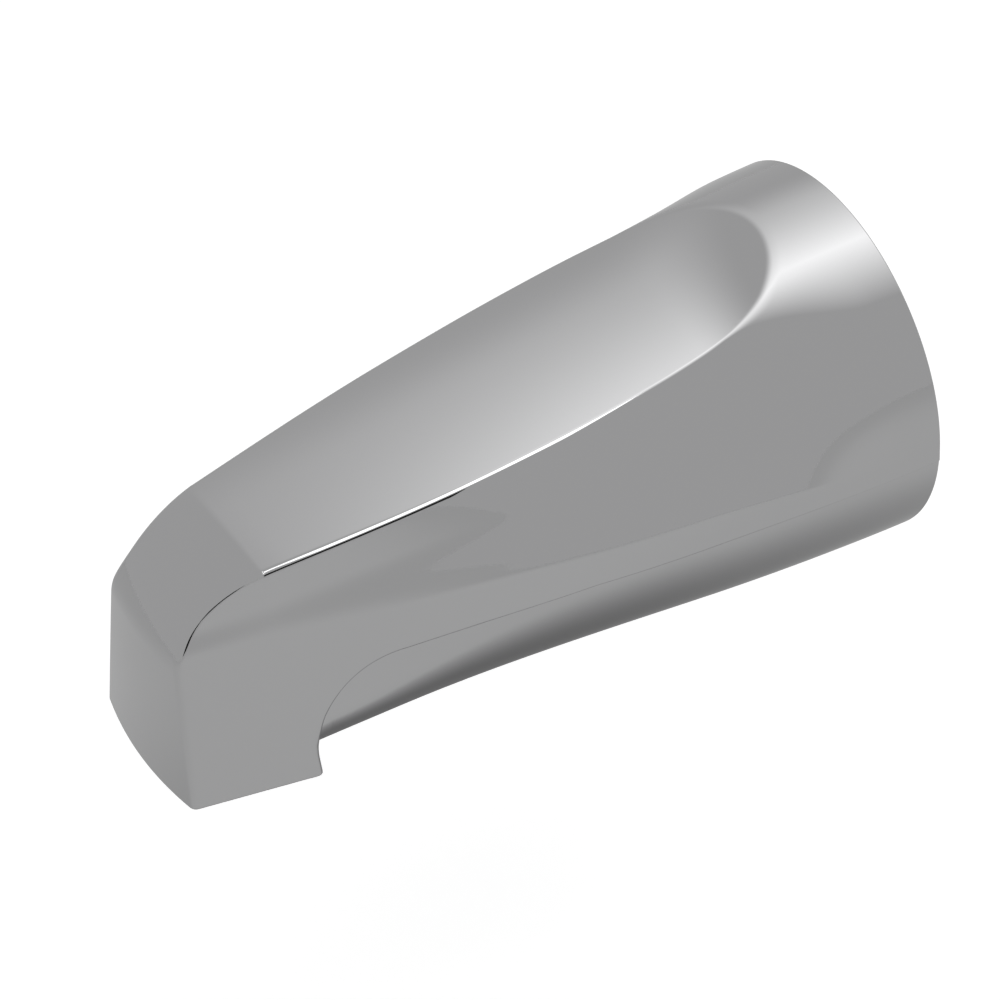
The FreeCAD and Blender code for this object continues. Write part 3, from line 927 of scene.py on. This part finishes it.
floor_links.new(either_side.outputs[0], floor_nodes["Material Output"].inputs["Surface"])
floor.data.materials.append(floor_paint)

ceiling_glow = 1.1
wall_level = 0.53
world = bpy.data.worlds.new("studio")
bpy.context.scene.world = world
world.use_nodes = True
sky = world.node_tree
sky.nodes.clear()
direction = sky.nodes.new("ShaderNodeTexCoord").outputs["Generated"]


def sky_math(operation, a, b=0.0, c=0.0):
    node = sky.nodes.new("ShaderNodeMath")
    node.operation = operation
    for socket, value in zip(node.inputs, (a, b, c)):
        if isinstance(value, float):
            socket.default_value = value
        else:
            sky.links.new(value, socket)
    return node.outputs[0]


def sky_fade(value, start, end, low, high):
    node = sky.nodes.new("ShaderNodeMapRange")
    node.interpolation_type = "SMOOTHSTEP"
    sky.links.new(value, node.inputs["Value"])
    for name, number in (("From Min", start), ("From Max", end), ("To Min", low), ("To Max", high)):
        node.inputs[name].default_value = number
    return node.outputs["Result"]


parts = sky.nodes.new("ShaderNodeSeparateXYZ")
sky.links.new(direction, parts.inputs[0])
from_left = sky_math("MULTIPLY_ADD", parts.outputs["X"], 1.0 / 1.2, 1.04)
from_left = sky_math("POWER", sky_math("MAXIMUM", from_left, 0.0), 2.0)
from_right = sky_math("MULTIPLY_ADD", parts.outputs["X"], -1.0 / 0.6, 0.9)
across = sky_math("MAXIMUM", sky_math("MINIMUM", from_left, from_right), 0.0)
ahead_fade = sky_fade(parts.outputs["Y"], -0.01, 0.19, 0.0, 1.0)
behind_fade = sky_fade(parts.outputs["Y"], 0.6, 0.95, 1.0, 0.1)
lengthwise = sky_math("MULTIPLY", ahead_fade, behind_fade)
overhead = sky_fade(parts.outputs["Z"], 0.3, 0.68, 0.0, 1.0)
glow_share = sky_math("MULTIPLY", sky_math("MULTIPLY", across, lengthwise), overhead)
studio_level = sky_math("MULTIPLY_ADD", glow_share, ceiling_glow, wall_level)
rays = sky.nodes.new("ShaderNodeLightPath")
level = sky.nodes.new("ShaderNodeMix")
sky.links.new(rays.outputs["Is Camera Ray"], level.inputs["Factor"])
sky.links.new(studio_level, level.inputs[2])
level.inputs[3].default_value = 1.0
glow = sky.nodes.new("ShaderNodeBackground")
glow.inputs["Color"].default_value = (1.0, 1.0, 1.0, 1.0)
sky.links.new(level.outputs[0], glow.inputs["Strength"])
sky_out = sky.nodes.new("ShaderNodeOutputWorld")
sky.links.new(glow.outputs[0], sky_out.inputs["Surface"])

softbox_place = (0.28, -0.06, 0.4)
softbox_size = (0.36, 0.16)
softbox_radiance = 1.75
bpy.ops.object.light_add(type="AREA", location=softbox_place)
softbox = bpy.context.object
softbox.name = "softbox"
softbox.data.shape = "RECTANGLE"
softbox.data.size, softbox.data.size_y = softbox_size
softbox.data.energy = softbox_radiance * math.pi * softbox.data.size * softbox.data.size_y

flag_cloth = bpy.data.materials.new("flag_cloth")
flag_cloth.use_nodes = True
flag_shader = flag_cloth.node_tree.nodes["Principled BSDF"]
flag_shader.inputs["Base Color"].default_value = (0.01, 0.01, 0.01, 1.0)
flag_shader.inputs["Roughness"].default_value = 0.9

# The lowest and highest Y and Z of each cloth
flag_x = 0.35
flag_corners = {
    "side_flag": ((-0.15, 0.0425), (-0.05, 0.1975)),
    "nose_flag": ((-0.31, 0.0), (-0.2, 0.07)),
}
for name, (low_corner, high_corner) in flag_corners.items():
    middle = [(a + b) / 2.0 for a, b in zip(low_corner, high_corner)]
    bpy.ops.mesh.primitive_plane_add(size=1.0, location=(flag_x, *middle))
    flag = bpy.context.object
    flag.name = name
    wide = high_corner[0] - low_corner[0]
    high = high_corner[1] - low_corner[1]
    flag.scale = (high, wide, 1.0)
    flag.rotation_euler = (0.0, math.radians(90.0), 0.0)
    bpy.ops.object.transform_apply(location=True, rotation=True, scale=True)
    flag.data.materials.append(flag_cloth)
    flag.visible_camera = False
    flag.visible_shadow = False
    flag.visible_diffuse = False

# Camera
# It stands in front of the spout's right side and above it, and is rolled a little.
camera_place = (0.37152, -0.25124, 0.35836)
camera_lens = 126.0
camera_roll = math.radians(-5.0)
camera_data = bpy.data.cameras.new("camera")
camera = bpy.data.objects.new("camera", camera_data)
bpy.context.collection.objects.link(camera)
right = Vector((0.4538, 0.8911, 0.0))
up = Vector((-0.5838, 0.2973, 0.7556))
back = right.cross(up)
turned_right = right * math.cos(camera_roll) + up * math.sin(camera_roll)
turned_up = up * math.cos(camera_roll) - right * math.sin(camera_roll)
rotation = Matrix((turned_right, turned_up, back)).transposed()
camera.matrix_world = Matrix.Translation(camera_place) @ rotation.to_4x4()
camera_data.lens = camera_lens
camera_data.sensor_width = 36.0
bpy.context.scene.camera = camera
bpy.context.scene.view_settings.view_transform = "Standard"
